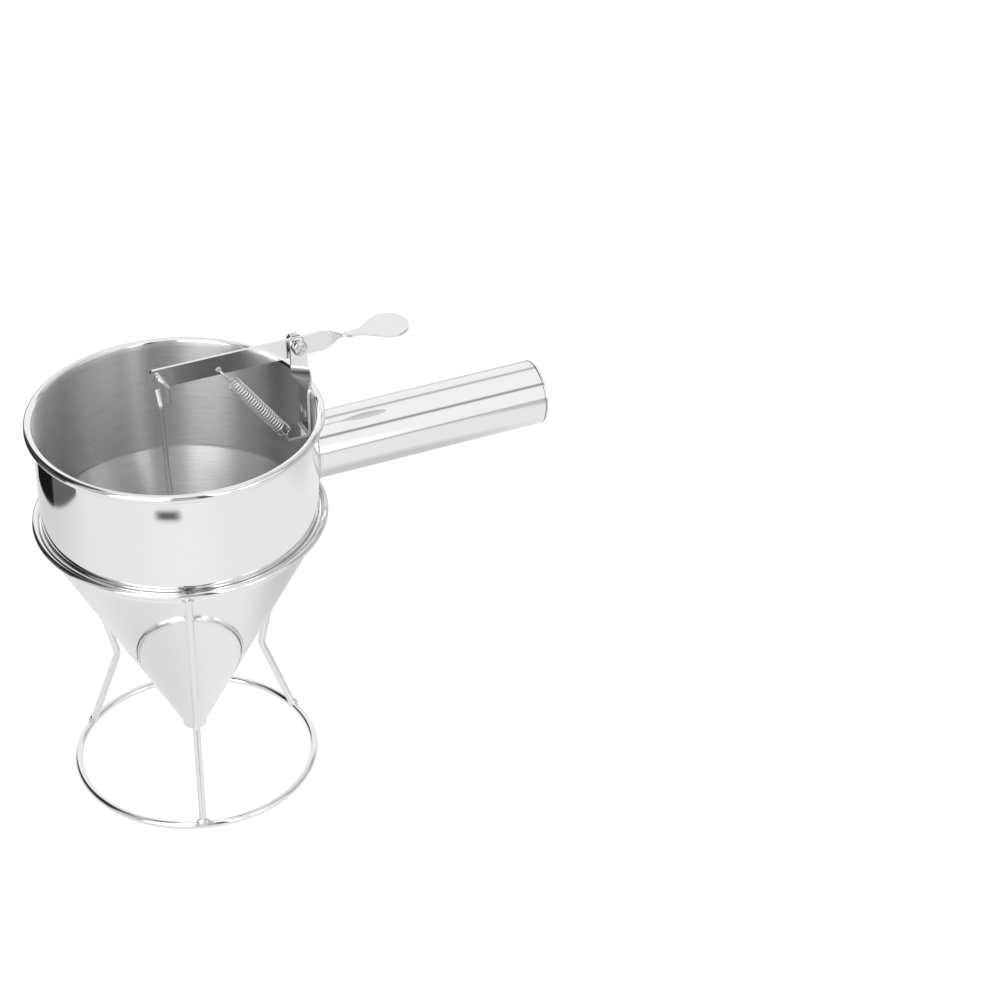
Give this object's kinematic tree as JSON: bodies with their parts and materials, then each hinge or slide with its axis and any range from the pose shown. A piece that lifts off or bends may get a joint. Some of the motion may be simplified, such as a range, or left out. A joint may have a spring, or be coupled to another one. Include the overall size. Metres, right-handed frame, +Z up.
{
  "type": "pancake batter dispenser",
  "caption": "Stainless batter funnel with a tube handle, thumb lever, lift rod, outlet plug and return spring, standing in a bent wire stand.",
  "frame": {"origin": "middle of the whole object's footprint, on the surface it stands on", "axes": "+Z up; the handle points along +X; the lever moves in the XZ plane; the screw's head is on the -Y side"},
  "size_m": [0.2762, 0.1502, 0.2449],
  "materials": {
    "polished_sheet": "mirror polished stainless steel",
    "stand_wire": "bright polished wire",
    "satin_strip": "satin stainless strip",
    "fastener": "bright plated fasteners",
    "spring_wire": "drawn spring wire"
  },
  "bodies": {
    "stand": {"base_ring": "stand_wire", "top_ring": "stand_wire", "stand_leg_1": "stand_wire", "stand_leg_2": "stand_wire", "stand_leg_3": "stand_wire"},
    "hopper": {"hopper_band": "polished_sheet", "hopper_cone": "polished_sheet", "handle_tube": "polished_sheet", "handle_weld": "satin_strip", "handle_end_cap": "polished_sheet", "pivot_bracket": "satin_strip", "bracket_rivet_1": "satin_strip", "bracket_rivet_2": "satin_strip", "pivot_screw": "fastener", "pivot_spacer": "fastener", "nut_washer": "fastener", "pivot_nut": "fastener", "return_spring": "spring_wire"},
    "lever": {"thumb_lever": "satin_strip"},
    "rod": {"lift_rod": "stand_wire", "outlet_stopper": "polished_sheet"}
  },
  "joints": [
    {"name": "hopper_lift", "type": "slide", "parent": "stand", "child": "hopper", "axis": [0, 0, 1], "range_m": [0, 0.16]},
    {"name": "lever_press", "type": "hinge", "parent": "hopper", "child": "lever", "pos_m": [0.00305, 0, 0.2405], "axis": [0, 1, 0], "range_deg": [0, 20], "stiffness_Nm_per_rad": 0.6, "springref_deg": -11.46, "deforming": ["return_spring"]},
    {"name": "rod_swing", "type": "hinge", "parent": "lever", "child": "rod", "pos_m": [-0.07035, 0, 0.2402], "axis": [0, 1, 0], "range_deg": [-20, 1]}
  ],
  "couplings": [
    {"joint": "rod_swing", "follows": "lever_press", "ratio": -0.95}
  ]
}
